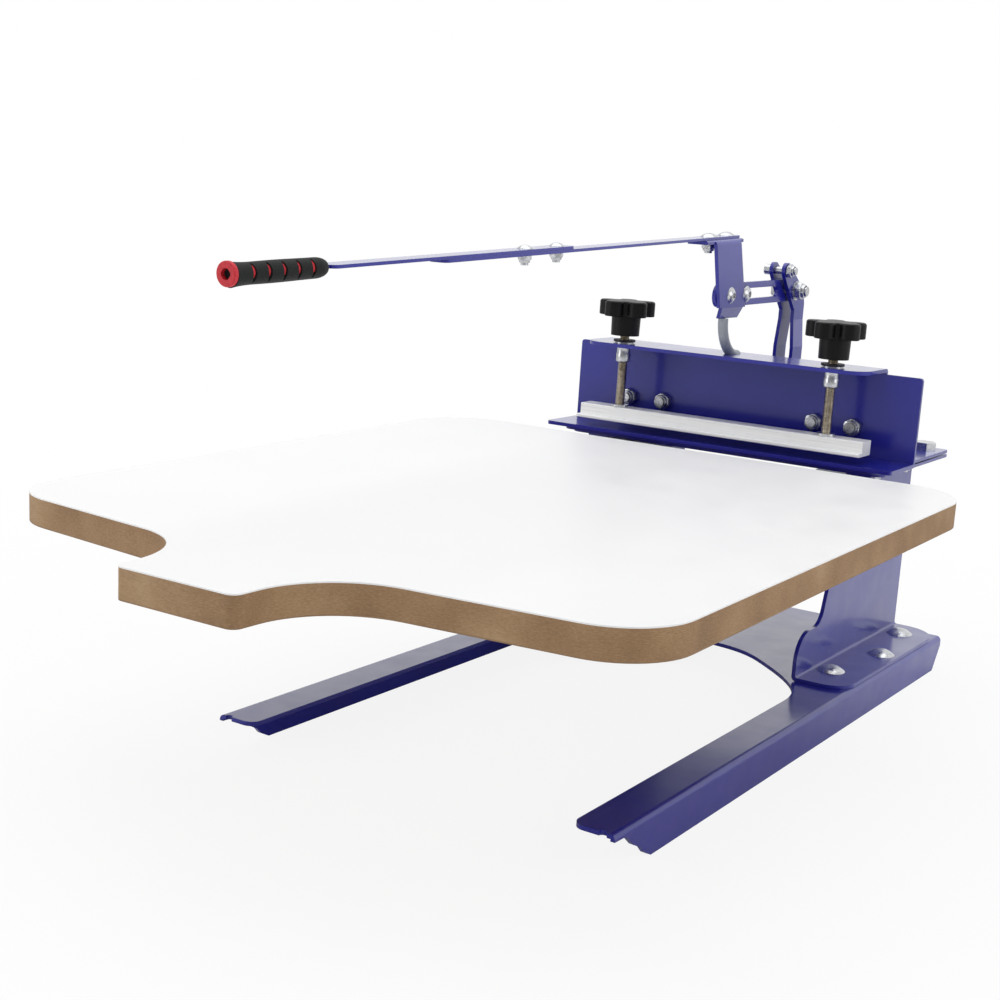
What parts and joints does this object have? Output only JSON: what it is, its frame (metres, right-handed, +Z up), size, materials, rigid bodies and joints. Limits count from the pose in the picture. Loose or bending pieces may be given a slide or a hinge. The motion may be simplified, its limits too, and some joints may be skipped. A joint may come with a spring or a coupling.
{
  "type": "tabletop screen printing press",
  "caption": "Tabletop screen printing press: print board on a bent steel base, and a hinged head with a screen frame clamp, hand knobs and a long lift handle.",
  "frame": {"origin": "on the floor under the middle of the whole press", "axes": "+Z up, +Y from the front of the print board to the rear hinge, +X to the right of someone who stands at the front"},
  "size_m": [0.45, 0.773, 0.357],
  "materials": {
    "blue_powder_coat": "gloss powder coat",
    "zinc_plate": "bright zinc plate",
    "fibreboard": "sealed cut edge",
    "white_laminate": "smooth satin",
    "backing_sheet": "plain balancing sheet",
    "black_rubber": "matt",
    "aluminium_bar": "satin extruded",
    "black_plastic": "fine texture",
    "red_plastic": "moulded",
    "dark_steel": "dark oxide",
    "grey_steel": "smooth"
  },
  "bodies": {
    "base": {"base_frame": "blue_powder_coat", "upright_left": "blue_powder_coat", "upright_right": "blue_powder_coat", "foot_bolts": "zinc_plate", "foot_nuts": "zinc_plate", "hinge_base_plate": "blue_powder_coat", "base_plate_bolts": "zinc_plate", "base_plate_nuts": "zinc_plate", "hinge_pin": "dark_steel", "rest_pads": "black_rubber", "board_core": "fibreboard", "board_top_laminate": "white_laminate", "board_bottom_laminate": "backing_sheet", "board_screws": "zinc_plate", "board_arm_left": "blue_powder_coat", "board_arm_right": "blue_powder_coat", "board_arm_bolts": "zinc_plate", "board_arm_nuts": "zinc_plate"},
    "head": {"head_plate": "blue_powder_coat", "jack_bolts": "zinc_plate", "clamp_channel": "blue_powder_coat", "corner_bracket_left": "blue_powder_coat", "corner_bracket_right": "blue_powder_coat", "web_bolts": "zinc_plate", "web_nuts": "zinc_plate", "bracket_screws": "zinc_plate", "rivet_nuts": "zinc_plate", "flange_washers": "dark_steel", "mast_arm_left": "blue_powder_coat", "mast_arm_right": "blue_powder_coat", "arm_screws": "zinc_plate", "pivot_bolt": "zinc_plate", "pivot_nut": "zinc_plate", "pivot_washer": "zinc_plate", "pivot_spacers": "zinc_plate", "stop_bolt": "zinc_plate", "stop_nut": "zinc_plate", "rest_rod": "grey_steel"},
    "clamp_bar": {"clamp_bar": "aluminium_bar"},
    "left_screw": {"clamp_stud_left": "zinc_plate", "foot_washer_left": "zinc_plate", "clamp_knob_left": "black_plastic"},
    "right_screw": {"clamp_stud_right": "zinc_plate", "foot_washer_right": "zinc_plate", "clamp_knob_right": "black_plastic"},
    "link": {"slotted_link": "blue_powder_coat"},
    "handle": {"handle_bracket": "blue_powder_coat", "clamp_screws": "zinc_plate", "clamp_washers": "zinc_plate", "clamp_nuts": "zinc_plate", "rear_strip": "blue_powder_coat", "front_strip": "blue_powder_coat", "tab_bolts": "zinc_plate", "tab_nuts": "zinc_plate", "splice_bolts": "zinc_plate", "splice_nuts": "zinc_plate", "grip_core": "red_plastic", "grip_sleeve": "black_rubber"}
  },
  "joints": [
    {"name": "head_lift", "type": "hinge", "parent": "base", "child": "head", "pos_m": [0, 0.382, 0.184], "axis": [-1, 0, 0], "range_deg": [0, 75]},
    {"name": "right_knob_turn", "type": "hinge", "parent": "clamp_bar", "child": "right_screw", "pos_m": [0.091, 0.2225, 0.2078], "axis": [0, 0, 1], "range_deg": [-920, 6500]},
    {"name": "left_knob_turn", "type": "hinge", "parent": "clamp_bar", "child": "left_screw", "pos_m": [-0.091, 0.2225, 0.2078], "axis": [0, 0, 1], "range_deg": [-920, 6500]},
    {"name": "clamp_bar_travel", "type": "slide", "parent": "head", "child": "clamp_bar", "axis": [0, 0, 1], "range_m": [-0.00313, 0.0225]},
    {"name": "link_swing", "type": "hinge", "parent": "head", "child": "link", "pos_m": [0, 0.3355, 0.3097], "axis": [-1, 0, 0], "range_deg": [0, 12.9]},
    {"name": "bracket_slide", "type": "slide", "parent": "link", "child": "handle", "axis": [0, 0.9999, 0.0122], "range_m": [-0.003, 0.025]}
  ],
  "couplings": [
    {"joint": "left_knob_turn", "follows": "clamp_bar_travel", "rad_per_m": 5026.5},
    {"joint": "right_knob_turn", "follows": "clamp_bar_travel", "rad_per_m": 5026.5}
  ]
}
